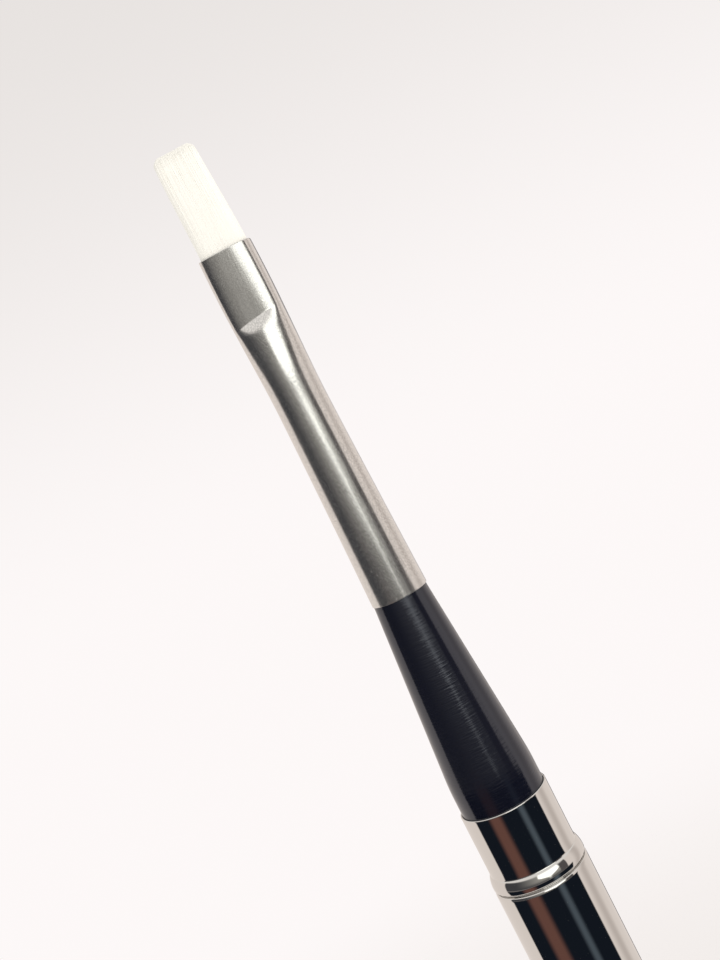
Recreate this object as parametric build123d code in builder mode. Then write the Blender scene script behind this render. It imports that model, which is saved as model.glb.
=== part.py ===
from build123d import *
import os

# A flat travel brush. A pressed nickel ferrule on a black neck carries the white hair.
# The neck stands in a plated collar, and the collar's lower half pushes into the barrel.
# Millimetres. Z = 0 is the butt and +Z runs to the hair tip. The flat hair is wide along X.

# Barrel
barrel_length = 84.0
barrel_diameter = 9.2
barrel_wall = 0.30
mouth_round = 0.10
butt_height = 3.2
butt_round = 2.0
butt_plug_depth = 4.0
vent_diameter = 1.5

# Collar: one drawn tube with a rolled bead that stops it on the barrel's mouth
collar_wall = 0.20
rim_round = 0.07
collar_height = 7.7
spigot_length = 12.0
bead_height = 1.55
bead_crown = 0.85
bead_foot_round = 0.15
collar_plug_depth = 2.5
collar_plug_chamfer = 0.4

# Neck: a straight foot, then a taper up to the ferrule
neck_foot_height = 10.4
neck_foot_depth = 8.0
neck_top_diameter = 5.18
neck_tenon_length = 8.5

# Ferrule: a seamless tapered tube, pressed flat at the hair end
ferrule_bottom = 28.6
ferrule_length = 34.1
ferrule_base_diameter = 5.40
ferrule_waist_diameter = 4.70
ferrule_wall = 0.18
ferrule_flat_length = 6.5
ferrule_press_length = 5.0
ferrule_flat_thickness = 3.2
ferrule_crimp_width = 5.00
ferrule_mouth_width = 4.98
ferrule_corner = 1.3

# Hair
hair_length = 9.7
hair_root_depth = 14.0
hair_tip_width = 4.2
hair_tip_thickness = 1.0
hair_tip_corner = 0.4
hair_tip_round = 0.3
binding_thread = 0.5
resin_depth = 3.0

# Fits
slide_clearance = 0.03
press_clearance = 0.01
glue_clearance = 0.02
seat_gap = 0.10
flex_gap = 0.10

# Radii and heights that follow from the sizes above
barrel_radius = barrel_diameter / 2
bore_radius = barrel_radius - barrel_wall
collar_radius = bore_radius - slide_clearance
collar_bore = collar_radius - collar_wall
neck_foot_radius = collar_bore - press_clearance
neck_top_radius = neck_top_diameter / 2

mouth_z = barrel_length - seat_gap
bead_z = barrel_length
bead_top_z = bead_z + bead_height
bead_hollow_radius = barrel_radius - collar_wall
collar_top_z = bead_z + collar_height
spigot_end_z = bead_z - spigot_length
ferrule_z = bead_z + ferrule_bottom
ferrule_mouth_z = ferrule_z + ferrule_length
ferrule_crimp_z = ferrule_mouth_z - ferrule_flat_length
ferrule_waist_z = ferrule_crimp_z - ferrule_press_length
tenon_top_z = ferrule_z + neck_tenon_length
hair_root_z = ferrule_mouth_z - hair_root_depth
hair_tip_z = ferrule_mouth_z + hair_length


def ferrule_form(inset):
    """A solid that stays inset inside the ferrule's outer skin over its whole length."""
    with BuildPart() as form:
        with BuildSketch(Plane.XY.offset(ferrule_z)):
            Circle(ferrule_base_diameter / 2 - inset)
        with BuildSketch(Plane.XY.offset(ferrule_waist_z)):
            Circle(ferrule_waist_diameter / 2 - inset)
        loft()
        with BuildSketch(Plane.XY.offset(ferrule_waist_z)):
            Circle(ferrule_waist_diameter / 2 - inset)
        with BuildSketch(Plane.XY.offset(ferrule_crimp_z)):
            RectangleRounded(
                ferrule_crimp_width - 2 * inset,
                ferrule_flat_thickness - 2 * inset,
                ferrule_corner - inset,
            )
        loft()
        with BuildSketch(Plane.XY.offset(ferrule_crimp_z)):
            RectangleRounded(
                ferrule_crimp_width - 2 * inset,
                ferrule_flat_thickness - 2 * inset,
                ferrule_corner - inset,
            )
        with BuildSketch(Plane.XY.offset(ferrule_mouth_z)):
            RectangleRounded(
                ferrule_mouth_width - 2 * inset,
                ferrule_flat_thickness - 2 * inset,
                ferrule_corner - inset,
            )
        loft()
    return form.part


def slice_between(solid, low_z, high_z):
    """The part of a solid between two heights."""
    with BuildPart() as piece:
        add(solid)
        split(bisect_by=Plane.XY.offset(low_z), keep=Keep.TOP)
        split(bisect_by=Plane.XY.offset(high_z), keep=Keep.BOTTOM)
    return piece.part


# Barrel tube: a plain drawn tube, open at both ends
with BuildPart() as barrel_tube:
    with BuildSketch(Plane.XY.offset(butt_height)):
        Circle(barrel_radius)
        Circle(bore_radius, mode=Mode.SUBTRACT)
    extrude(amount=mouth_z - butt_height)
    fillet(barrel_tube.edges().group_by(Axis.Z)[-1], mouth_round)

# Barrel end plug: a rounded butt with a plug that is pressed into the tube, and a vent
with BuildPart() as barrel_end_plug:
    with BuildSketch(Plane.XY):
        Circle(barrel_radius)
    extrude(amount=butt_height)
    fillet(barrel_end_plug.edges().group_by(Axis.Z)[0], butt_round)
    with BuildSketch(Plane.XY.offset(butt_height)):
        Circle(bore_radius - press_clearance)
    extrude(amount=butt_plug_depth)
    Hole(vent_diameter / 2)

# Collar: the outline of its wall, turned about the brush axis
with BuildPart() as collar:
    with BuildSketch(Plane.XZ):
        with BuildLine():
            Polyline(
                (collar_radius, bead_top_z),
                (collar_radius, collar_top_z),
                (collar_bore, collar_top_z),
                (collar_bore, bead_top_z - collar_wall),
                (bead_hollow_radius, bead_z + collar_wall),
                (collar_bore, bead_z + collar_wall),
                (collar_bore, spigot_end_z),
                (collar_radius, spigot_end_z),
                (collar_radius, bead_z),
                (barrel_radius - bead_foot_round, bead_z),
            )
            RadiusArc(
                (barrel_radius - bead_foot_round, bead_z),
                (barrel_radius, bead_z + bead_foot_round),
                -bead_foot_round,
            )
            Line(
                (barrel_radius, bead_z + bead_foot_round),
                (barrel_radius, bead_top_z - bead_crown),
            )
            EllipticalCenterArc(
                (collar_radius, bead_top_z - bead_crown),
                barrel_radius - collar_radius,
                bead_crown,
                start_angle=0,
                arc_size=90,
            )
        make_face()
    revolve(axis=Axis.Z)
    fillet(collar.edges().group_by(Axis.Z)[-1], rim_round)
    fillet(collar.edges().group_by(Axis.Z)[0], rim_round)

# Collar plug: closes the spigot's lower end, which shows when the head is stored
with BuildPart() as collar_plug:
    with BuildSketch(Plane.XY.offset(spigot_end_z)):
        Circle(collar_bore - press_clearance)
    extrude(amount=collar_plug_depth)
    chamfer(collar_plug.edges().group_by(Axis.Z)[0], collar_plug_chamfer)

# Neck: foot in the collar, taper, and a tenon that follows the ferrule's taper
tenon = slice_between(ferrule_form(ferrule_wall + glue_clearance), ferrule_z, tenon_top_z)
with BuildPart() as neck:
    with BuildSketch(Plane.XY.offset(bead_z - neck_foot_depth)):
        Circle(neck_foot_radius)
    extrude(amount=neck_foot_depth + neck_foot_height)
    with BuildSketch(Plane.XY.offset(bead_z + neck_foot_height)):
        Circle(neck_foot_radius)
    with BuildSketch(Plane.XY.offset(ferrule_z)):
        Circle(neck_top_radius)
    loft()
    add(tenon)

# Ferrule: the outer form less the same form set in by the wall
ferrule_skin = ferrule_form(0)
ferrule_bore = ferrule_form(ferrule_wall)
with BuildPart() as ferrule:
    add(ferrule_skin)
    add(ferrule_bore, mode=Mode.SUBTRACT)

# Hair root: the tied hair inside the ferrule, with a waist where the thread holds it
binding_z = hair_root_z + binding_thread * 3
root_form = slice_between(ferrule_form(ferrule_wall + glue_clearance), hair_root_z, ferrule_mouth_z)
binding_ring = ferrule_waist_diameter / 2 - ferrule_wall - glue_clearance - binding_thread
with BuildPart() as hair_root:
    add(root_form)
    with BuildSketch(Plane.XZ):
        with Locations((binding_ring, binding_z)):
            Rectangle(
                binding_thread * 2,
                binding_thread + 2 * glue_clearance,
                align=(Align.MIN, Align.CENTER),
            )
    revolve(axis=Axis.Z, mode=Mode.SUBTRACT)

# Tuft binding: the thread wound round the root
with BuildPart() as tuft_binding:
    with BuildSketch(Plane.XZ):
        with Locations((binding_ring + binding_thread / 2 + glue_clearance, binding_z)):
            Circle(binding_thread / 2 - glue_clearance)
    revolve(axis=Axis.Z)

# Resin set: the plug of cured resin under the root
resin_top_z = hair_root_z - glue_clearance
resin_bottom_z = resin_top_z - resin_depth
resin_form = slice_between(ferrule_form(ferrule_wall + press_clearance), resin_bottom_z, resin_top_z)
with BuildPart() as resin_set:
    add(resin_form)

# Hair tuft: a chisel that thins to the tip, with a round foot about the line it bends on
tuft_thickness = ferrule_flat_thickness - 2 * ferrule_wall - 2 * glue_clearance
tuft_width = ferrule_mouth_width - 2 * ferrule_wall - 2 * glue_clearance
tuft_corner = ferrule_corner - ferrule_wall - glue_clearance
bend_z = ferrule_mouth_z + flex_gap + tuft_thickness / 2
with BuildPart() as hair_tuft:
    with BuildSketch(Plane.YZ):
        with Locations((0, bend_z)):
            Circle(tuft_thickness / 2)
    extrude(amount=tuft_width / 2 - tuft_corner, both=True)
    with BuildSketch(Plane.XY.offset(bend_z)):
        RectangleRounded(tuft_width, tuft_thickness, tuft_corner)
    with BuildSketch(Plane.XY.offset(hair_tip_z)):
        RectangleRounded(hair_tip_width, hair_tip_thickness, hair_tip_corner)
    loft()
    fillet(hair_tuft.edges().group_by(Axis.Z)[-1], hair_tip_round)

os.makedirs("parts", exist_ok=True)

barrel_tube.part.label = "barrel_tube"
barrel_end_plug.part.label = "barrel_end_plug"
collar.part.label = "collar"
collar_plug.part.label = "collar_plug"
neck.part.label = "neck"
ferrule.part.label = "ferrule"
hair_root.part.label = "hair_root"
tuft_binding.part.label = "tuft_binding"
resin_set.part.label = "resin_set"
hair_tuft.part.label = "hair_tuft"

export_step(barrel_tube.part, "parts/barrel_tube.step")
export_step(barrel_end_plug.part, "parts/barrel_end_plug.step")
export_step(collar.part, "parts/collar.step")
export_step(collar_plug.part, "parts/collar_plug.step")
export_step(neck.part, "parts/neck.step")
export_step(ferrule.part, "parts/ferrule.step")
export_step(hair_root.part, "parts/hair_root.step")
export_step(tuft_binding.part, "parts/tuft_binding.step")
export_step(resin_set.part, "parts/resin_set.step")
export_step(hair_tuft.part, "parts/hair_tuft.step")
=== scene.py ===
# %% [markdown]
# # A travel brush with a pull-out head
# The brush has a plated barrel, a plated collar with a rolled bead, a black turned neck, a
# satin nickel ferrule pressed flat at the hair, and white synthetic hair. The CAD model gives
# the main sizes and both joints. This file gives the surfaces their true edges and finishes,
# and turns the hair from one plain block into separate filaments.

# The finished looks may not grow past it.

# %% Load the frame
import bisect
import math
import random
import bmesh
import bpy
from mathutils import Matrix, Vector


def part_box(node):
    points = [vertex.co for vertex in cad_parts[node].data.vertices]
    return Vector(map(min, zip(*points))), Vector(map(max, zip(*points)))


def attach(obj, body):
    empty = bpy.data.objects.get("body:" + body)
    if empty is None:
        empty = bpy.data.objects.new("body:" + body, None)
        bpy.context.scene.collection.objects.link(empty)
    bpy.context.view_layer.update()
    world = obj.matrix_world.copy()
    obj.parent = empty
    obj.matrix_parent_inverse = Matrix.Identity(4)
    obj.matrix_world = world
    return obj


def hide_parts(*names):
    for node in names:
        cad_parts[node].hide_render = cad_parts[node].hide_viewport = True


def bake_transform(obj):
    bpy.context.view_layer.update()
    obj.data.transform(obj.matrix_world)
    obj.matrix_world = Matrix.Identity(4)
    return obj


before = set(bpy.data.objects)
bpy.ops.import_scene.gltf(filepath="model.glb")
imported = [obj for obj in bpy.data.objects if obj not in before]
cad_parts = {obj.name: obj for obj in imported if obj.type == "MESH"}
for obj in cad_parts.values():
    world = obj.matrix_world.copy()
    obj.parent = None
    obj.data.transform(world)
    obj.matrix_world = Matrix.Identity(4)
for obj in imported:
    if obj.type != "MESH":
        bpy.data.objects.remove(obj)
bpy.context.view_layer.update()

# %% [markdown]
# ## Sizes
# Heights and radii are read from the CAD nodes, so the looks follow the model. The gaps and
# walls that a box can't tell, and what the CAD leaves plain, such as the roll of an edge, get
# their own numbers.

# %% Read sizes from the frame
MM = 0.001
SEAT_GAP = 0.10 * MM
PRESS_CLEARANCE = 0.01 * MM
COLLAR_WALL = 0.20 * MM


def span(name):
    """Lowest and highest height of a CAD node, and its half width along X."""
    low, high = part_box(name)
    return low.z, high.z, high.x


butt_z, plug_top_z, barrel_radius = span("barrel_end_plug")
tube_bottom_z, tube_mouth_z, _ = span("barrel_tube")
spigot_z, collar_top_z, _ = span("collar")
foot_z, tenon_top_z, neck_radius = span("neck")
ferrule_z, mouth_z, ferrule_radius = span("ferrule")
_, tip_z, _ = span("hair_tuft")
bead_z = tube_mouth_z + SEAT_GAP
collar_radius = neck_radius + PRESS_CLEARANCE + COLLAR_WALL
print("parting line at", round(bead_z, 5), "m, mouth at", round(mouth_z, 5), "m")

# %% [markdown]
# ## Helpers for turned pieces
# Most of this brush was made on a lathe or drawn as a tube. In Blender such a piece is an
# outline that is spun about the axis. Polished metal shows every fault in its shading, so
# two things matter. Rounded edges need several short steps. Long straight runs need a
# support point close to each end, so that the smooth shading of a rounded edge doesn't leak
# along the whole tube. Points closer than the weld distance become one.

# %% Helpers for turned pieces
AROUND = 144
SUPPORT = 0.06 * MM
WELD = 0.2e-6


def rounded(centre, reach_r, reach_z, start, end, steps=6):
    """Points of an elliptical round, from one angle to another, in degrees."""
    points = []
    for k in range(steps + 1):
        angle = math.radians(start + (end - start) * k / steps)
        r = centre[0] + reach_r * math.cos(angle)
        z = centre[1] + reach_z * math.sin(angle)
        points.append((r, z))
    return points


def supported(outline, closed):
    """The same outline with a support point near both ends of each long run."""
    result = []
    count = len(outline)
    for k, point in enumerate(outline):
        result.append(point)
        if k == count - 1 and not closed:
            break
        a = Vector(point)
        b = Vector(outline[(k + 1) % count])
        if (b - a).length > 4 * SUPPORT:
            step = (b - a).normalized() * SUPPORT
            result.append(tuple(a + step))
            result.append(tuple(b - step))
    return result


def spin_round(bm, points, closed, steps=AROUND):
    """Spins an outline of (radius, height) points once about Z."""
    verts = [bm.verts.new((r, 0, z)) for r, z in points]
    edges = [bm.edges.new(pair) for pair in zip(verts, verts[1:])]
    if closed:
        edges.append(bm.edges.new((verts[-1], verts[0])))
    bmesh.ops.spin(
        bm, geom=verts + edges, cent=(0, 0, 0), axis=(0, 0, 1), dvec=(0, 0, 0),
        angle=math.tau, steps=steps, use_merge=True, use_duplicate=False,
    )


def piece_from(bm, name, sharp_degrees=40):
    """A shaded object from a bmesh, with the normals outwards and sharp edges marked."""
    bmesh.ops.remove_doubles(bm, verts=bm.verts, dist=WELD)
    bmesh.ops.recalc_face_normals(bm, faces=bm.faces)
    mesh = bpy.data.meshes.new(name)
    bm.to_mesh(mesh)
    bm.free()
    mesh.shade_smooth()
    mesh.set_sharp_from_angle(angle=math.radians(sharp_degrees))
    made = bpy.data.objects.new(name, mesh)
    bpy.context.scene.collection.objects.link(made)
    print(name, len(mesh.polygons), "faces")
    return made


def turned(name, outline, closed=True):
    """A turned or drawn piece: its outline gets support points and is spun about Z."""
    bm = bmesh.new()
    spin_round(bm, supported(outline, closed), closed)
    return piece_from(bm, name)


# %% [markdown]
# ## The camera
# The brush is seen from close by, a little from the right of its flat side, with the
# camera rolled so that the brush leans to the left. Only the head and the top of the
# barrel are in view.

# %% Camera
CAMERA_AZIMUTH = math.radians(9.0)
CAMERA_DISTANCE = 123.0 * MM
CAMERA_HEIGHT = 134.35 * MM
CAMERA_HEADING = math.radians(8.31)
CAMERA_PITCH = math.radians(-5.11)
CAMERA_ROLL = math.radians(26.95)
LENS = 52.0

eye = Vector((
    CAMERA_DISTANCE * math.sin(CAMERA_AZIMUTH),
    -CAMERA_DISTANCE * math.cos(CAMERA_AZIMUTH),
    CAMERA_HEIGHT,
))
looking = Vector((
    -math.sin(CAMERA_HEADING) * math.cos(CAMERA_PITCH),
    math.cos(CAMERA_HEADING) * math.cos(CAMERA_PITCH),
    math.sin(CAMERA_PITCH),
))
camera_data = bpy.data.cameras.new("camera")
camera_data.lens = LENS
camera_data.clip_start = 0.005
camera_data.clip_end = 50
camera = bpy.data.objects.new("camera", camera_data)
bpy.context.scene.collection.objects.link(camera)
level = looking.to_track_quat("-Z", "Y").to_matrix().to_4x4()
camera.matrix_world = Matrix.Translation(eye) @ level @ Matrix.Rotation(-CAMERA_ROLL, 4, "Z")
bpy.context.scene.camera = camera
bpy.context.scene.view_settings.view_transform = "Standard"
print("camera", CAMERA_DISTANCE / MM, "mm from the brush's axis")

# %% [markdown]
# ## The studio
# Polished metal has no colour of its own. What shows on it is the room. So the studio is a simple
# room: pale paper at the back and sides, a dark room with a brown cupboard behind the camera, and
# a bright window up on the right. The world's shader places them by direction alone, and only
# reflections see them. The camera sees pale paper with painted shade higher up, and soft surfaces
# get an even white light.

# %% Node helpers


def tree_of(owner):
    """The owner's node tree, emptied."""
    owner.use_nodes = True
    owner.node_tree.nodes.clear()
    return owner.node_tree


def node(tree, kind, inputs=(), **settings):
    """Adds a node, sets it up and fills its inputs with links or values."""
    made = tree.nodes.new(kind)
    for key, value in settings.items():
        setattr(made, key, value)
    for key, value in dict(inputs).items():
        if isinstance(value, bpy.types.NodeSocket):
            tree.links.new(value, made.inputs[key])
        else:
            made.inputs[key].default_value = value
    return made


def math_node(tree, operation, a, b=0.0):
    """A Math node's output."""
    made = node(tree, "ShaderNodeMath", {0: a, 1: b}, operation=operation)
    return made.outputs[0]


def smooth_range(tree, value, from_low, from_high, to_low=0.0, to_high=1.0):
    """A smooth step of a value from one range to another."""
    made = node(
        tree, "ShaderNodeMapRange",
        {"Value": value, "From Min": from_low, "From Max": from_high,
         "To Min": to_low, "To Max": to_high},
        interpolation_type="SMOOTHSTEP",
    )
    return made.outputs[0]


def mix_colour(tree, factor, a, b):
    """A Mix node's colour output."""
    made = node(tree, "ShaderNodeMix", {0: factor, 6: a, 7: b}, data_type="RGBA")
    return made.outputs[2]


# %% [markdown]
# The room is described by the few things that stand in it. Each has a range of turn, in
# degrees round the brush from the camera towards its right-hand side, a range of rise, in
# degrees above level, the softness of its edges and its light. A mirror-like tube shows
# what is at twice the turn of its own surface, so the dark room behind the camera fills the
# tube's middle, and the pale paper on both sides fills its edges. A brown cupboard and a
# door give the two faint stripes, and a gap in the paper behind gives the brush's back a
# dark line that shows its roundness.

# %% Things in the room
PAPER_SIDES = (0.84, 0.76, 0.71, 1)
WALL_RISE = (-13, 24)
RISE_SOFTNESS = 4
THINGS = [
    ("fold in the paper", (90, 112), (-90, 30), 20, (0.62, 0.55, 0.51, 1)),
    ("gap in the paper", (162, 177), (-90, 40), 6, (0.09, 0.09, 0.10, 1)),
    ("dark room", (-98, 78), (-90, -13), 4, (0.008, 0.011, 0.017, 1)),
    ("brown cupboard", (-56, -28), (-34, -15), 16, (0.15, 0.07, 0.055, 1)),
    ("door", (20, 34), (-90, -15), 12, (0.08, 0.10, 0.12, 1)),
    ("far wall", (-98, 62), WALL_RISE, 4, (0.06, 0.06, 0.065, 1)),
]

# %% [markdown]
# The turn and the rise come from the direction in which a reflection looks. Each thing is
# then laid over the last one, as far as the direction lies between its sides.

# %% World
world = bpy.data.worlds.new("studio")
bpy.context.scene.world = world
world.cycles.sampling_method = "NONE"
tree = tree_of(world)
direction = node(tree, "ShaderNodeTexCoord").outputs["Generated"]
to_camera = (math.sin(CAMERA_AZIMUTH), -math.cos(CAMERA_AZIMUTH), 0)
to_right = (math.cos(CAMERA_AZIMUTH), math.sin(CAMERA_AZIMUTH), 0)


def along(tree, vector, axis):
    """How far a vector reaches along an axis."""
    made = node(tree, "ShaderNodeVectorMath", {0: vector, 1: axis}, operation="DOT_PRODUCT")
    return made.outputs["Value"]


def between(tree, value, low, high, softness):
    """1 between low and high and 0 outside, with soft edges."""
    half = softness / 2
    risen = smooth_range(tree, value, low - half, low + half)
    not_past = smooth_range(tree, value, high + half, high - half)
    return math_node(tree, "MULTIPLY", risen, not_past)


rightwards = along(tree, direction, to_right)
turn = math_node(tree, "ARCTAN2", rightwards, along(tree, direction, to_camera))
turn_degrees = math_node(tree, "MULTIPLY", turn, 180 / math.pi)
rise = math_node(tree, "ARCSINE", along(tree, direction, (0, 0, 1)))
rise_degrees = math_node(tree, "MULTIPLY", rise, 180 / math.pi)

lit = PAPER_SIDES
for name, turns, rises, softness, light in THINGS:
    share = math_node(
        tree, "MULTIPLY", between(tree, turn_degrees, *turns, softness),
        between(tree, rise_degrees, *rises, RISE_SOFTNESS),
    )
    lit = mix_colour(tree, share, lit, light)
    print(name, "from", turns[0], "to", turns[1], "degrees")

# %% [markdown]
# The window's light spreads over the far wall, so the wall goes from dark on the left to
# light near the window, and a curtain ends it on the right. This one soft step is what
# gives satin metal its slow change from dark to light.

# %% Glow and curtain
GLOW = (0.44, 0.42, 0.385, 1)
GLOW_TURN = (-72, 14)
GLOW_RISE = (-14, 2)
CURTAIN = (0.10, 0.09, 0.09, 1)
CURTAIN_TURN = (42, 62)
CURTAIN_SOFTNESS = 4

glow_turn = smooth_range(tree, turn_degrees, *GLOW_TURN)
glow_end = smooth_range(tree, turn_degrees, CURTAIN_TURN[1], CURTAIN_TURN[0])
glow_along = math_node(tree, "MULTIPLY", glow_turn, glow_end)
glow_share = math_node(tree, "MULTIPLY", glow_along, smooth_range(tree, rise_degrees, *GLOW_RISE))
lit = mix_colour(tree, glow_share, lit, GLOW)
curtain_share = math_node(
    tree, "MULTIPLY", between(tree, turn_degrees, *CURTAIN_TURN, CURTAIN_SOFTNESS),
    between(tree, rise_degrees, *WALL_RISE, RISE_SOFTNESS),
)
lit = mix_colour(tree, curtain_share, lit, CURTAIN)
print("glow up to", GLOW_TURN[1], "degrees, curtain up to", CURTAIN_TURN[1], "degrees")

# %% [markdown]
# The window is wide above and narrows to a slit below the brush's middle height. Metal
# mirrors it as the long bright streak on the ferrule and as the lens-shaped lights on the
# bead and the rims, whose rounded edges look up. All its numbers are degrees. A pale ceiling
# and a pale table close the room above and below.

# %% Window, ceiling and table
WINDOW_LIGHT = (1.8, 1.8, 1.7, 1)
WINDOW_TURN = 14
WINDOW_HALF = (1.5, 26)
WINDOW_WIDENS = (-5.5, 8)
WINDOW_EDGE = (4, -2)
WINDOW_RISE = (-14, 5)
CEILING = (0.86, 0.83, 0.80, 1)
CEILING_RISE = (14, 36)
TABLE = (0.76, 0.71, 0.67, 1)
TABLE_RISE = (-34, -50)

window_half = smooth_range(tree, rise_degrees, *WINDOW_WIDENS, *WINDOW_HALF)
off_window = math_node(tree, "ABSOLUTE", math_node(tree, "SUBTRACT", turn_degrees, WINDOW_TURN))
past_window = math_node(tree, "SUBTRACT", off_window, window_half)
window_share = math_node(
    tree, "MULTIPLY", smooth_range(tree, past_window, *WINDOW_EDGE),
    smooth_range(tree, rise_degrees, *WINDOW_RISE),
)
lit = mix_colour(tree, window_share, lit, WINDOW_LIGHT)
lit = mix_colour(tree, smooth_range(tree, rise_degrees, *CEILING_RISE), lit, CEILING)
lit = mix_colour(tree, smooth_range(tree, rise_degrees, *TABLE_RISE), lit, TABLE)
print("window at", WINDOW_TURN, "degrees, up to", 2 * WINDOW_HALF[1], "degrees wide")

# %% [markdown]
# The camera itself sees pale paper with painted shade: its colour goes greyer higher up, where
# the paper curves up. The world's shader tells the three kinds of ray apart: reflections get the
# room, the camera gets the paper, and everything else gets soft white.

# %% Paper, with painted shade higher up
PAPER_LOW = (0.98, 0.94, 0.935, 1)
# The greyer upper colour of the paper is painted shade, not the paper's own colour.
PAPER_PAINTED_SHADE = (0.80, 0.765, 0.745, 1)
PAPER_SHADE_RISE = (-6, 20)
SOFT_WHITE = (1.0, 0.985, 0.965, 1)
SOFT_STRENGTH = 0.95

# The paper's colour is mixed towards the painted shade as the view rises.
paper = mix_colour(tree, smooth_range(tree, rise_degrees, *PAPER_SHADE_RISE), PAPER_LOW, PAPER_PAINTED_SHADE)
path = node(tree, "ShaderNodeLightPath")
seen = node(tree, "ShaderNodeBackground", {"Color": paper, "Strength": 1.0})
mirrored = node(tree, "ShaderNodeBackground", {"Color": lit, "Strength": 1.0})
soft = node(tree, "ShaderNodeBackground", {"Color": SOFT_WHITE, "Strength": SOFT_STRENGTH})
bounced = node(
    tree, "ShaderNodeMixShader",
    {0: path.outputs["Is Glossy Ray"], 1: soft.outputs[0], 2: mirrored.outputs[0]},
)
light = node(
    tree, "ShaderNodeMixShader",
    {0: path.outputs["Is Camera Ray"], 1: bounced.outputs[0], 2: seen.outputs[0]},
)
node(tree, "ShaderNodeOutputWorld", {"Surface": light.outputs[0]})
print("the world's shader has", len(tree.nodes), "nodes")

# %% [markdown]
# The floor is a pale disc under the butt. Its edge fades out, so that it never ends in a
# line. One soft lamp on the window's side models the hair and the floor's shadow.

# %% Floor
FLOOR_RADIUS = 0.26
FLOOR_FADE = (0.08, FLOOR_RADIUS * 0.98)
FLOOR_COLOUR = (0.83, 0.80, 0.79, 1)

bm = bmesh.new()
bmesh.ops.create_circle(bm, cap_ends=True, segments=96, radius=FLOOR_RADIUS)
floor_mesh = bpy.data.meshes.new("floor")
bm.to_mesh(floor_mesh)
bm.free()
floor = bpy.data.objects.new("floor", floor_mesh)
bpy.context.scene.collection.objects.link(floor)
floor.visible_glossy = False

paper_material = bpy.data.materials.new("pale_paper")
tree = tree_of(paper_material)
place = node(tree, "ShaderNodeTexCoord").outputs["Object"]
far = node(tree, "ShaderNodeVectorMath", {0: place}, operation="LENGTH").outputs["Value"]
fade = smooth_range(tree, far, *FLOOR_FADE)
sheet = node(tree, "ShaderNodeBsdfDiffuse", {"Color": FLOOR_COLOUR})
gone = node(tree, "ShaderNodeBsdfTransparent")
both = node(tree, "ShaderNodeMixShader", {0: fade, 1: sheet.outputs[0], 2: gone.outputs[0]})
node(tree, "ShaderNodeOutputMaterial", {"Surface": both.outputs[0]})
floor_mesh.materials.append(paper_material)
print("floor radius", FLOOR_RADIUS, "m")

# %% Lamp
LAMP_PLACE = Vector((0.42, -0.34, 0.42))
LAMP_AIM = Vector((0, 0, 0.12))
LAMP_WATTS = 1.2

lamp_data = bpy.data.lights.new("window_lamp", "AREA")
lamp_data.shape = "RECTANGLE"
lamp_data.size = 0.35
lamp_data.size_y = 0.45
lamp_data.energy = LAMP_WATTS
lamp_data.color = (1.0, 0.985, 0.95)
lamp = bpy.data.objects.new("window_lamp", lamp_data)
bpy.context.scene.collection.objects.link(lamp)
lamp.location = LAMP_PLACE
lamp.rotation_euler = (LAMP_AIM - LAMP_PLACE).to_track_quat("-Z", "Y").to_euler()
lamp.visible_glossy = False
print("lamp", round((LAMP_AIM - LAMP_PLACE).length, 2), "m from the brush")

# %% [markdown]
# ## Finishes
# Each finish is one Principled shader. What varies over the surface comes from noise in
# Object coordinates, in metres, so the grain has its true size wherever the piece goes.

# %% Finish helpers


def finish(name, colour, **sockets):
    """A new material with one Principled shader. Returns it, its tree, shader and place."""
    made = bpy.data.materials.new(name)
    tree = tree_of(made)
    shader = node(tree, "ShaderNodeBsdfPrincipled", {"Base Color": (*colour, 1)})
    for key, value in sockets.items():
        shader.inputs[key.replace("_", " ").title().replace("Ior", "IOR")].default_value = value
    node(tree, "ShaderNodeOutputMaterial", {"Surface": shader.outputs[0]})
    place = node(tree, "ShaderNodeTexCoord").outputs["Object"]
    return made, tree, shader, place


def grain(tree, place, scale, size, detail=2.0):
    """Noise of a given size in millimetres. scale stretches it along X, Y and Z."""
    stretched = node(tree, "ShaderNodeMapping", {"Vector": place, "Scale": scale})
    made = node(
        tree, "ShaderNodeTexNoise",
        {"Vector": stretched.outputs[0], "Scale": 1 / (size * MM), "Detail": detail},
    )
    return made.outputs["Fac"]


def bump(tree, height, depth, normal=None):
    """A Bump node's normal for a height of 0 to 1 that stands for depth in millimetres."""
    inputs = {"Height": height, "Distance": depth * MM, "Strength": 1.0}
    if normal is not None:
        inputs["Normal"] = normal
    return node(tree, "ShaderNodeBump", inputs).outputs[0]


# %% [markdown]
# The plate on barrel, collar and butt is mirror bright. A real one still has faint polishing
# lines round it and a slow wave in the tube's wall, so that the reflections aren't ruled
# lines. The wave is a hundredth of a millimetre deep, and the lines a fraction of a
# micrometre.

# %% Plate
PLATE = (0.74, 0.73, 0.71)
PLATE_ROUGHNESS = (0.035, 0.07)
WAVE_DEPTH = 0.010
LINE_DEPTH = 0.0002


def plate(name):
    """Bright plate with polishing lines round it."""
    made, tree, shader, place = finish(name, PLATE, metallic=1.0)
    wave = grain(tree, place, (1, 1, 0.25), 4.0, 1.0)
    lines = grain(tree, place, (0.4, 0.4, 18), 1.2)
    rough = smooth_range(tree, lines, 0.3, 0.8, *PLATE_ROUGHNESS)
    tree.links.new(rough, shader.inputs["Roughness"])
    normal = bump(tree, wave, WAVE_DEPTH)
    normal = bump(tree, lines, LINE_DEPTH, normal=normal)
    tree.links.new(normal, shader.inputs["Normal"])
    return made


plated_barrel = plate("plated_barrel")
plated_collar = plate("plated_collar")
plated_butt = plate("plated_butt")
print("plate, polished to a roughness of", PLATE_ROUGHNESS)

# %% [markdown]
# The ferrule is nickel too, but satin. It was tumbled, which leaves a very fine grain over
# a surface that is still smooth in between. So the reflections keep their edges, and a grey
# haze lies over them. A Principled shader does that with a rough metal under a thin smooth
# coat. Drawing the tube left faint lines along it, and a few nicks come from handling. Each
# nick has its degrees round from the front, its height above the ferrule's foot and its
# radius, both in millimetres.

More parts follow.
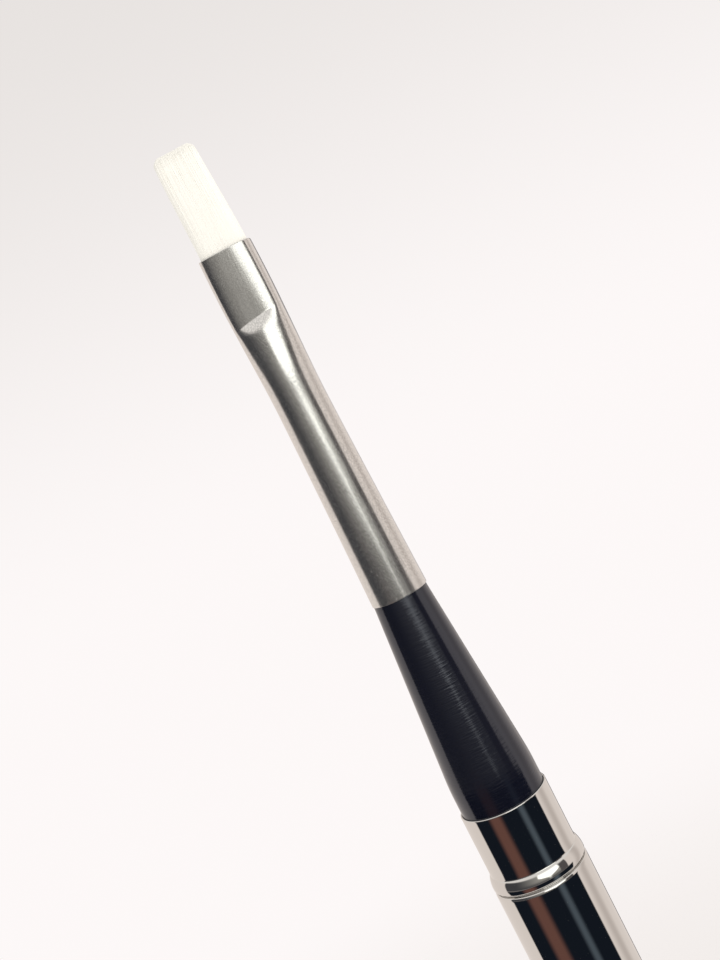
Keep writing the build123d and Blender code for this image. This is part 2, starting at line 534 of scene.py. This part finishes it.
# %% Satin nickel
NICKEL_DARK = (0.60, 0.592, 0.575, 1)
NICKEL_LIGHT = (0.88, 0.87, 0.84, 1)
NICKEL_ROUGHNESS = (0.19, 0.25)
TUMBLED_DEPTH = 0.0038
DRAWN_DEPTH = 0.0048
NICKS = [
    (14, 0.6, 0.07), (18, 0.7, 0.06), (0, 0.2, 0.06), (-9, 2.5, 0.08), (-13, 2.8, 0.06),
    (-21, 3.3, 0.07), (-39, 16.0, 0.08), (150, 8.5, 0.12), (-162, 22.0, 0.10),
]
NICK_DEPTH = 0.015
NICK_FLOOR = 0.3
TAPER = 0.018

satin_nickel, tree, shader, place = finish(
    "satin_nickel", (0.70, 0.69, 0.675), metallic=1.0,
    coat_weight=1.0, coat_roughness=0.04, coat_ior=1.9,
)
fine = grain(tree, place, (1, 1, 1), 0.10, 3.0)
drawn = grain(tree, place, (1, 1, 0.06), 0.24)
patches = grain(tree, place, (1, 1, 0.5), 1.6)
rough = smooth_range(tree, patches, 0.3, 0.75, *NICKEL_ROUGHNESS)
tree.links.new(rough, shader.inputs["Roughness"])
tone = mix_colour(tree, smooth_range(tree, fine, 0.35, 0.7), NICKEL_DARK, NICKEL_LIGHT)
tree.links.new(tone, shader.inputs["Base Color"])
normal = bump(tree, fine, TUMBLED_DEPTH)
normal = bump(tree, drawn, DRAWN_DEPTH, normal=normal)
for turned_by, above_foot, size in NICKS:
    angle = math.radians(turned_by)
    reach = ferrule_radius - TAPER * above_foot * MM
    spot = (reach * math.sin(angle), -reach * math.cos(angle), ferrule_z + above_foot * MM)
    away = node(tree, "ShaderNodeVectorMath", {0: place, 1: spot}, operation="DISTANCE")
    dent = smooth_range(tree, away.outputs["Value"], size * MM, size * NICK_FLOOR * MM)
    normal = bump(tree, dent, -NICK_DEPTH, normal=normal)
tree.links.new(normal, shader.inputs["Normal"])
print("satin nickel with", len(NICKS), "nicks")

# %% [markdown]
# The neck is black and polished. The tool that turned it left rings about a tenth of a
# millimetre apart, which show as short streaks where the window is mirrored. Handling has
# dulled some of them.

# %% Black neck
NECK_ROUGHNESS = (0.09, 0.19)
RING_DEPTH = 0.013

black_neck, tree, shader, place = finish(
    "black_neck", (0.0045, 0.0052, 0.0110), ior=1.70, specular_tint=(0.86, 0.90, 1.0, 1),
)
rings = grain(tree, place, (1.0, 1.0, 9), 1.2, 3.0)
patches = grain(tree, place, (1, 1, 0.6), 1.5)
worn = math_node(
    tree, "MULTIPLY", smooth_range(tree, rings, 0.35, 0.7), smooth_range(tree, patches, 0.3, 0.7),
)
rough = smooth_range(tree, worn, 0.0, 1.0, *NECK_ROUGHNESS)
tree.links.new(rough, shader.inputs["Roughness"])
tree.links.new(bump(tree, rings, RING_DEPTH), shader.inputs["Normal"])
print("black neck, ring depth", RING_DEPTH, "mm")

# %% [markdown]
# Hidden pieces get their own finishes as well: the plug in the collar's end shows as soon
# as the head is pulled, and the resin and the thread are there when the brush is taken
# apart.

# %% Hidden finishes
black_plug, tree, shader, place = finish("black_plug", (0.012, 0.012, 0.013), roughness=0.45)
pebble = grain(tree, place, (1, 1, 1), 0.25)
tree.links.new(smooth_range(tree, pebble, 0.3, 0.7, 0.38, 0.55), shader.inputs["Roughness"])
tree.links.new(bump(tree, pebble, 0.012), shader.inputs["Normal"])

cured_resin, tree, shader, place = finish("cured_resin", (0.45, 0.30, 0.12), roughness=0.2)
cloud = grain(tree, place, (1, 1, 1), 1.1)
amber = mix_colour(tree, cloud, (0.34, 0.20, 0.07, 1), (0.62, 0.46, 0.22, 1))
tree.links.new(amber, shader.inputs["Base Color"])
tree.links.new(bump(tree, cloud, 0.06), shader.inputs["Normal"])

binding_thread, tree, shader, place = finish("binding_thread", (0.8, 0.78, 0.7), roughness=0.8)
twist = grain(tree, place, (1, 1, 4), 0.2)
cream = mix_colour(tree, twist, (0.62, 0.58, 0.48, 1), (0.88, 0.86, 0.78, 1))
tree.links.new(cream, shader.inputs["Base Color"])
tree.links.new(bump(tree, twist, 0.05), shader.inputs["Normal"])
print("hidden finishes:", black_plug.name, cured_resin.name, binding_thread.name)

# %% [markdown]
# The hair is synthetic and white with a trace of cream, and the light bounces between the
# filaments until hardly any shadow is left. So the colour is very light. A small change
# from strand to strand and a slow one along the tuft keep it from looking like one block.

# %% White hair finish
HAIR_DARK = (0.955, 0.935, 0.87, 1)
HAIR_LIGHT = (0.975, 0.957, 0.893, 1)
HAIR_CREAM = (0.965, 0.93, 0.875, 1)
CREAM_SHARE = 0.35

white_hair, tree, shader, place = finish(
    "white_hair", (0.965, 0.945, 0.88), roughness=0.5, ior=1.45,
)
strand = grain(tree, place, (1, 1, 0.03), 0.12)
length_tone = grain(tree, place, (0.5, 0.5, 1), 2.4)
tone = mix_colour(tree, smooth_range(tree, strand, 0.3, 0.7), HAIR_DARK, HAIR_LIGHT)
tone = mix_colour(tree, math_node(tree, "MULTIPLY", length_tone, CREAM_SHARE), tone, HAIR_CREAM)
tree.links.new(tone, shader.inputs["Base Color"])
print("white hair, cream share", CREAM_SHARE)

# %% [markdown]
# ## The barrel and its butt
# The barrel is a thin drawn tube. Its mouth is rolled slightly inwards, which gives the
# bright hairline under the bead. The butt is a turned plug with a rounded end and a small
# vent in the middle.

# %% Barrel
TUBE_WALL = 0.30 * MM
MOUTH_ROLL = (0.13 * MM, 0.34 * MM)
LIP_ROLL = 0.07 * MM

tube_bore = barrel_radius - TUBE_WALL
outline = [(barrel_radius, tube_bottom_z)]
outline += rounded(
    (barrel_radius - MOUTH_ROLL[0], tube_mouth_z - MOUTH_ROLL[1]), *MOUTH_ROLL, 0, 90, steps=9,
)
outline += rounded(
    (tube_bore + LIP_ROLL, tube_mouth_z - LIP_ROLL), LIP_ROLL, LIP_ROLL, 90, 180, steps=5,
)
outline += [(tube_bore, tube_bottom_z)]
barrel = turned("barrel_shell", outline)
barrel.data.materials.append(plated_barrel)
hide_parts("barrel_tube")
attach(barrel, "barrel")

# %% Butt plug
BUTT_ROUND = 2.0 * MM
VENT_RADIUS = 0.75 * MM
VENT_EDGE = 0.12 * MM

outline = rounded(
    (VENT_RADIUS + VENT_EDGE, butt_z + VENT_EDGE), VENT_EDGE, VENT_EDGE, 180, 270, steps=4,
)
outline += rounded(
    (barrel_radius - BUTT_ROUND, butt_z + BUTT_ROUND), BUTT_ROUND, BUTT_ROUND, -90, 0, steps=16,
)
outline += [
    (barrel_radius, tube_bottom_z),
    (tube_bore - PRESS_CLEARANCE, tube_bottom_z),
    (tube_bore - PRESS_CLEARANCE, plug_top_z),
    (VENT_RADIUS, plug_top_z),
]
butt = turned("butt_plug", outline)
butt.data.materials.append(plated_butt)
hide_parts("barrel_end_plug")
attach(butt, "barrel")

# %% [markdown]
# ## The collar
# One tube makes the visible collar, the bead and the spigot below it. The bead was rolled
# from inside, so its crown is round, it ends in a crease above, and the tube flares a
# little as it nears that crease. The rim at the top is thin and rounded over.

# %% Bead
BEAD_HEIGHT = 1.52 * MM
BEAD_CROWN = 1.05 * MM
BEAD_FULLNESS = 1.6
BEAD_FOOT = 0.15 * MM
BEAD_LIFT = 0.11 * MM
CROWN_STEP_DEGREES = 6
FLARE_LENGTH = 0.8 * MM
FLARE_OUT = 0.015 * MM
FLARE_STEPS = 8

bead_top_z = bead_z + BEAD_HEIGHT
bead_foot_z = bead_z + BEAD_LIFT
bead_out = barrel_radius - collar_radius
bead_outline = [(collar_radius, bead_foot_z)]
bead_outline += rounded(
    (barrel_radius - BEAD_FOOT, bead_foot_z + BEAD_FOOT), BEAD_FOOT, BEAD_FOOT, -90, 0,
)
for degrees in range(0, 90, CROWN_STEP_DEGREES):
    angle = math.radians(degrees)
    r = collar_radius + bead_out * math.cos(angle) ** (2 / BEAD_FULLNESS)
    z = bead_top_z - BEAD_CROWN + BEAD_CROWN * math.sin(angle) ** (2 / BEAD_FULLNESS)
    if r > collar_radius + FLARE_OUT:
        bead_outline.append((r, z))
for k in range(FLARE_STEPS + 1):
    share = k / FLARE_STEPS
    r = collar_radius + FLARE_OUT * (1 - share) ** 2
    bead_outline.append((r, bead_top_z + FLARE_LENGTH * share))
print("bead outline:", len(bead_outline), "points")

# %% Collar
RIM_ROUND = 0.09 * MM

collar_bore = collar_radius - COLLAR_WALL
rim_radius = collar_radius - RIM_ROUND
outline = [(collar_bore, spigot_z + RIM_ROUND)]
outline += rounded((rim_radius, spigot_z + RIM_ROUND), RIM_ROUND, RIM_ROUND, -90, 0, steps=4)
outline += bead_outline
outline += rounded((rim_radius, collar_top_z - RIM_ROUND), RIM_ROUND, RIM_ROUND, 0, 90)
outline += rounded(
    (collar_bore + RIM_ROUND, collar_top_z - RIM_ROUND), RIM_ROUND, RIM_ROUND, 90, 180, steps=4,
)
collar = turned("collar_sleeve", outline)
collar.data.materials.append(plated_collar)
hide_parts("collar")
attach(collar, "head")

# %% [markdown]
# ## The neck
# A straight foot stands in the collar with a hairline gap, then one even taper runs up
# under the ferrule's edge. The change between the two is soft, as polishing leaves it.
# Above it, the tenon that holds the ferrule is a little thinner.

# %% Neck
FOOT_TOP = 10.4 * MM
FOOT_BLEND = 1.0 * MM
FOOT_BLEND_STEPS = 8
FOOT_CHAMFER = 0.2 * MM
SHOULDER_BELOW = 0.02 * MM
NECK_TOP_RADIUS = 2.59 * MM
TENON_RADIUS = 2.48 * MM
TENON_END_RADIUS = 2.27 * MM

foot_top_z = bead_z + FOOT_TOP
taper = (neck_radius - NECK_TOP_RADIUS) / (ferrule_z - foot_top_z)
neck_outline = [
    (0, foot_z),
    (neck_radius - FOOT_CHAMFER, foot_z),
    (neck_radius, foot_z + FOOT_CHAMFER),
]
for k in range(FOOT_BLEND_STEPS + 1):
    share = k / FOOT_BLEND_STEPS
    z = foot_top_z + FOOT_BLEND * (2 * share - 1)
    r = neck_radius - taper * FOOT_BLEND * share ** 2
    neck_outline.append((r, z))
neck_outline += [
    (NECK_TOP_RADIUS, ferrule_z - SHOULDER_BELOW),
    (TENON_RADIUS, ferrule_z - SHOULDER_BELOW),
    (TENON_END_RADIUS, tenon_top_z),
    (0, tenon_top_z),
]
neck = turned("neck_turned", neck_outline, closed=False)
neck.data.materials.append(black_neck)
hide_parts("neck")
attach(neck, "head")

# %% [markdown]
# ## The ferrule
# It starts as a tapered tube, spun like the rest. Then a press squeezes the top end flat.
# The rim of a tube can't stretch, so each point keeps its share of the way round while the
# ring turns from a circle into an oblong with full sides and slightly domed faces. The tube
# grows wider slowly, but the press has a short steep edge, which leaves the bright crease
# where the flat begins.

# %% The pressed ring
PRESSED_HALF = (2.48 * MM, 1.60 * MM)
FULLNESS_AT_CREASE = 3.9
FULLNESS_AT_MOUTH = 3.3
LOOKUP_STEPS = 1440


def oblong_ring(half_width, half_thickness, power):
    """A lookup from a share of the way round, from +X, to a point, and the whole way."""
    points = []
    for k in range(LOOKUP_STEPS + 1):
        angle = math.tau * k / LOOKUP_STEPS
        c, s = math.cos(angle), math.sin(angle)
        x = half_width * math.copysign(abs(c) ** (2 / power), c)
        y = half_thickness * math.copysign(abs(s) ** (2 / power), s)
        points.append(Vector((x, y)))
    way = [0.0]
    for a, b in zip(points, points[1:]):
        way.append(way[-1] + (b - a).length)

    def point_at(share):
        wanted = (share % 1.0) * way[-1]
        k = max(1, bisect.bisect_left(way, wanted))
        part = (wanted - way[k - 1]) / (way[k] - way[k - 1])
        return points[k - 1].lerp(points[k], part)

    return point_at, way[-1]


ring_at_crease, way_at_crease = oblong_ring(*PRESSED_HALF, FULLNESS_AT_CREASE)
ring_at_mouth, way_at_mouth = oblong_ring(*PRESSED_HALF, FULLNESS_AT_MOUTH)
print("way round the flat end:", round(way_at_crease / MM, 2), round(way_at_mouth / MM, 2), "mm")

# %% The press
BASE_RADIUS = 2.70 * MM
WAIST_RADIUS = 2.345 * MM
WAIST_BELOW_MOUTH = 14.5 * MM
FERRULE_WALL = 0.18 * MM
HOLLOW = 1.25
FLAT_LENGTH = 6.5 * MM
WIDE_PAST_CREASE = 1.5 * MM
PRESS_LENGTH = 6.5 * MM
SLOW_SHARE = 0.36
STEEP_SHARE = 0.64
STEEP_LENGTH = 1.5 * MM
STEEP_POWER = 2.2
CREASE_SLANT = 0.14
BULGE = 0.04 * MM
SHARE_STEP = 0.001

crimp_z = mouth_z - FLAT_LENGTH
waist_z = mouth_z - WAIST_BELOW_MOUTH


def eased(value):
    """A smooth 0 to 1."""
    value = min(1.0, max(0.0, value))
    return value * value * (3 - 2 * value)


def tube_radius(z):
    """The round tube's radius: it tapers along a slightly hollow line to its waist."""
    share = min(1.0, (z - ferrule_z) / (waist_z - ferrule_z))
    return WAIST_RADIUS + (BASE_RADIUS - WAIST_RADIUS) * (1 - share) ** HOLLOW


def press(share, z):
    """Where the press moves the point at that share of the way round and that height."""
    turn = math.tau * share
    circle = tube_radius(z) * Vector((math.cos(turn), math.sin(turn)))
    up = min(1.0, max(0.0, (z - crimp_z) / FLAT_LENGTH))
    flat = ring_at_crease(share).lerp(ring_at_mouth(share), up)
    crease_z = crimp_z + CREASE_SLANT * circle.x
    slow = eased((z - crease_z + PRESS_LENGTH) / PRESS_LENGTH)
    steep = min(1.0, max(0.0, (z - crease_z + STEEP_LENGTH) / STEEP_LENGTH))
    wide = eased((z - waist_z) / (crimp_z + WIDE_PAST_CREASE - waist_z))
    thin = SLOW_SHARE * slow + STEEP_SHARE * steep ** STEEP_POWER
    bulge = BULGE * math.sin(math.pi * up) * flat.x / PRESSED_HALF[0]
    x = circle.x + (flat.x - circle.x) * wide + bulge
    y = circle.y + (flat.y - circle.y) * thin
    return Vector((x, y))


def press_inset(share, z, inset):
    """The pressed point, moved straight into the wall."""
    before, here, after = (press(share + step, z) for step in (-SHARE_STEP, 0, SHARE_STEP))
    way = (after - before).normalized()
    return here + inset * Vector((-way.y, way.x))


print("the flat begins at", round(crimp_z, 5), "m, the waist is at", round(waist_z, 5), "m")

# %% [markdown]
# The press works on the points of a spun tube, so the tube needs enough rows before it is
# pressed. They stand close together only about the crease, where the shape turns quickly.
# The wall inside is out of sight and gets every fourth row.

# %% Ferrule
CUT = 0.015 * MM
EDGE = 0.04 * MM
TURNED_IN = 0.6
CLOSE_ROWS_BELOW = 2.4 * MM
CLOSE_ROWS_ABOVE = 0.6 * MM


def rows(low_z, high_z, count):
    """Evenly spaced heights from low_z up to, but without, high_z."""
    return [low_z + (high_z - low_z) * k / count for k in range(count)]


close_z = crimp_z - CLOSE_ROWS_BELOW
flat_z = crimp_z + CLOSE_ROWS_ABOVE
heights = rows(ferrule_z, close_z, 50) + rows(close_z, flat_z, 44) + rows(flat_z, mouth_z, 20)
outer_z = [ferrule_z + SUPPORT] + heights[1:] + [mouth_z - EDGE - SUPPORT]
outline = [(BASE_RADIUS - CUT * TURNED_IN, ferrule_z), (BASE_RADIUS, ferrule_z + CUT)]
outline += [(BASE_RADIUS, z) for z in outer_z]
outline += [(BASE_RADIUS, mouth_z - EDGE), (BASE_RADIUS - EDGE * TURNED_IN, mouth_z)]
outline += [(BASE_RADIUS - FERRULE_WALL, z) for z in [mouth_z] + heights[::-4] + [ferrule_z]]
bm = bmesh.new()
spin_round(bm, outline, closed=True)
for vert in bm.verts:
    share = math.atan2(vert.co.y, vert.co.x) / math.tau
    inset = BASE_RADIUS - math.hypot(vert.co.x, vert.co.y)
    vert.co.x, vert.co.y = press_inset(share, vert.co.z, inset)
ferrule = piece_from(bm, "ferrule_tube", 50)
ferrule.data.materials.append(satin_nickel)
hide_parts("ferrule")
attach(ferrule, "head")

# %% [markdown]
# ## The hair
# Some thirteen hundred filaments stand side by side in the ferrule's mouth, in rings that
# follow its outline, so that the edge of the tuft is even all the way round. The real
# filaments are finer still, and there are more of them. One filament is modelled here and
# then copied. It has six sides and a few joints, so that it can bend.

# %% One filament
SIDES = 6
JOINTS = 7

bm = bmesh.new()
start = bmesh.ops.create_circle(bm, cap_ends=True, segments=SIDES, radius=1.0)
for vert in start["verts"]:
    vert.co.z = 0.0
face = bm.faces[:][0]
for k in range(JOINTS):
    grown = bmesh.ops.extrude_face_region(bm, geom=[face])
    for vert in [g for g in grown["geom"] if isinstance(g, bmesh.types.BMVert)]:
        vert.co.z += 1.0 / JOINTS
    bmesh.ops.delete(bm, geom=[face], context="FACES_ONLY")
    face = [g for g in grown["geom"] if isinstance(g, bmesh.types.BMFace)][0]
bottom = [edge for edge in bm.edges if edge.is_boundary]
bmesh.ops.contextual_create(bm, geom=bottom)
bmesh.ops.recalc_face_normals(bm, faces=bm.faces)
filament = bpy.data.meshes.new("filament")
bm.to_mesh(filament)
bm.free()
print("one filament:", len(filament.vertices), "points,", len(filament.polygons), "faces")

# %% [markdown]
# The tuft starts inside the mouth, narrows a little towards the tip and thins to a chisel.
# Its tip leans a little to one side, as soft hair does. Every second ring of filaments is
# turned by half a spacing, so that the filaments lie between each other like packed pencils.

# %% Places of the filaments
SPACING = 0.094 * MM
RING_STEP = SPACING * math.sqrt(3) / 2
MOUTH_FILL = (2.14 * MM, 1.30 * MM)
TIP_FILL = (1.93 * MM, 0.42 * MM)
FILL_FULLNESS = 3.3
NARROWING = 1.3
THINNING = 1.5
LEAN = -0.20 * MM
ROOT_INSIDE = 1.5 * MM

start_z = mouth_z - ROOT_INSIDE
free_length = tip_z - mouth_z


def tuft_half(share):
    """Half width and half thickness of the tuft at a share of its free length."""
    share = max(0.0, share)
    width = MOUTH_FILL[0] + (TIP_FILL[0] - MOUTH_FILL[0]) * share ** NARROWING
    thick = MOUTH_FILL[1] + (TIP_FILL[1] - MOUTH_FILL[1]) * share ** THINNING
    return width, thick


places = []
for k in range(int(MOUTH_FILL[1] / RING_STEP)):
    inwards = k * RING_STEP
    ring, way = oblong_ring(MOUTH_FILL[0] - inwards, MOUTH_FILL[1] - inwards, FILL_FULLNESS)
    count = int(way / SPACING)
    places += [ring((i + 0.5 * (k % 2)) / count) for i in range(count)]
print(len(places), "filaments to place")

# %% [markdown]
# Deep inside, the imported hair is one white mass. So a plain core fills the tuft as far as
# the middle of the outer filaments, and stops just short of the tips. It is a spun tube of
# radius and height 1, which is then stretched to the tuft's own shape.

# %% The core of the tuft
CORE_AROUND = 48
CORE_ROWS = 10
CORE_WELD = 0.001
CORE_SQUARED = 0.6
CORE_SHORT = 0.35 * MM

bm = bmesh.new()
core_side = [(1, k / CORE_ROWS) for k in range(CORE_ROWS + 1)]
spin_round(bm, [(0, 0)] + core_side + [(0, 1)], closed=False, steps=CORE_AROUND)
bmesh.ops.remove_doubles(bm, verts=bm.verts, dist=CORE_WELD)
bmesh.ops.recalc_face_normals(bm, faces=bm.faces)
for vert in bm.verts:
    z = start_z + (tip_z - CORE_SHORT - start_z) * vert.co.z
    share = (z - mouth_z) / free_length
    half = tuft_half(share)
    x, y = (math.copysign(abs(v) ** CORE_SQUARED, v) for v in vert.co.xy)
    vert.co = (x * half[0] + LEAN * eased(share), y * half[1], z)
core = bpy.data.meshes.new("tuft_core")
bm.to_mesh(core)
bm.free()
print("core:", len(core.polygons), "faces")

# %% [markdown]
# No two filaments are quite alike. Each copy gets its own length, and it is shorter towards
# the tuft's corners and faces, which rounds the tip. It drifts a little to one side, waves
# a little and thins towards its end. The drift and the wave are shares of the tuft's half
# width and half thickness.

# %% Copies of the filament
OVERLAP = 1.5
CORNER_FROM = 0.72
CORNER_SHORT = 0.50 * MM
FACE_SHORT = 0.35 * MM
FACE_POWER = 2.2
MOST_SHORT = 1.4 * MM
UNEVEN = 0.025 * MM
DRIFT = (0.012, 0.02)
WAVE_SIZE = 0.006
WAVE_RADIANS = 3.0
THIN_FROM = 0.6
THINNER_BY = 0.30
random.seed(7)

bm = bmesh.new()
bm.from_mesh(core)
size = len(filament.vertices)
template = [vert.co.copy() for vert in filament.vertices]
for x, y in places:
    across, deep = x / MOUTH_FILL[0], y / MOUTH_FILL[1]
    at_corner = max(0.0, abs(across) - CORNER_FROM) / (1 - CORNER_FROM)
    shorter = CORNER_SHORT * at_corner ** 2 + FACE_SHORT * abs(deep) ** FACE_POWER
    shorter += abs(random.gauss(0, UNEVEN))
    end_z = tip_z - min(shorter, MOST_SHORT)
    drift = Vector((random.gauss(0, DRIFT[0]), random.gauss(0, DRIFT[1])))
    wave = random.uniform(0, math.tau)
    turned_by = random.uniform(0, math.tau)
    bm.from_mesh(filament)
    bm.verts.ensure_lookup_table()
    first_vert = len(bm.verts) - size
    for k, corner in enumerate(template):
        z = start_z + (end_z - start_z) * corner.z
        share = (z - mouth_z) / free_length
        half = tuft_half(share)
        loose = eased(share)
        waved = WAVE_SIZE * math.sin(wave + WAVE_RADIANS * share)
        line_x = (across + drift.x * loose + waved) * half[0] + LEAN * loose
        line_y = (deep + drift.y * loose) * half[1]
        thin = 1 - THINNER_BY * max(0.0, (corner.z - THIN_FROM) / (1 - THIN_FROM)) ** 2
        radius = 0.5 * SPACING * OVERLAP * thin
        angle = turned_by + math.atan2(corner.y, corner.x)
        bm.verts[first_vert + k].co = (
            line_x + radius * math.cos(angle), line_y + radius * math.sin(angle), z,
        )
hair_mesh = bpy.data.meshes.new("hair_filaments")
bm.to_mesh(hair_mesh)
bm.free()
hair_mesh.shade_smooth()
hair = bpy.data.objects.new("hair_filaments", hair_mesh)
bpy.context.scene.collection.objects.link(hair)
hair_mesh.materials.append(white_hair)
print(len(places), "filaments,", len(hair_mesh.polygons), "faces")
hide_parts("hair_tuft", "hair_root")
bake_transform(hair)

# %% [markdown]
# ## CAD pieces that stay as they are
# The plug in the spigot's end, the resin and the thread keep their CAD shape and get their
# finish in their own slots.

# %% Finishes on CAD pieces
for name, material in (
    ("collar_plug", black_plug),
    ("resin_set", cured_resin),
    ("tuft_binding", binding_thread),
):
    cad_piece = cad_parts[name]
    cad_piece.data.materials.clear()
    cad_piece.data.materials.append(material)
    print(name, "gets", material.name)
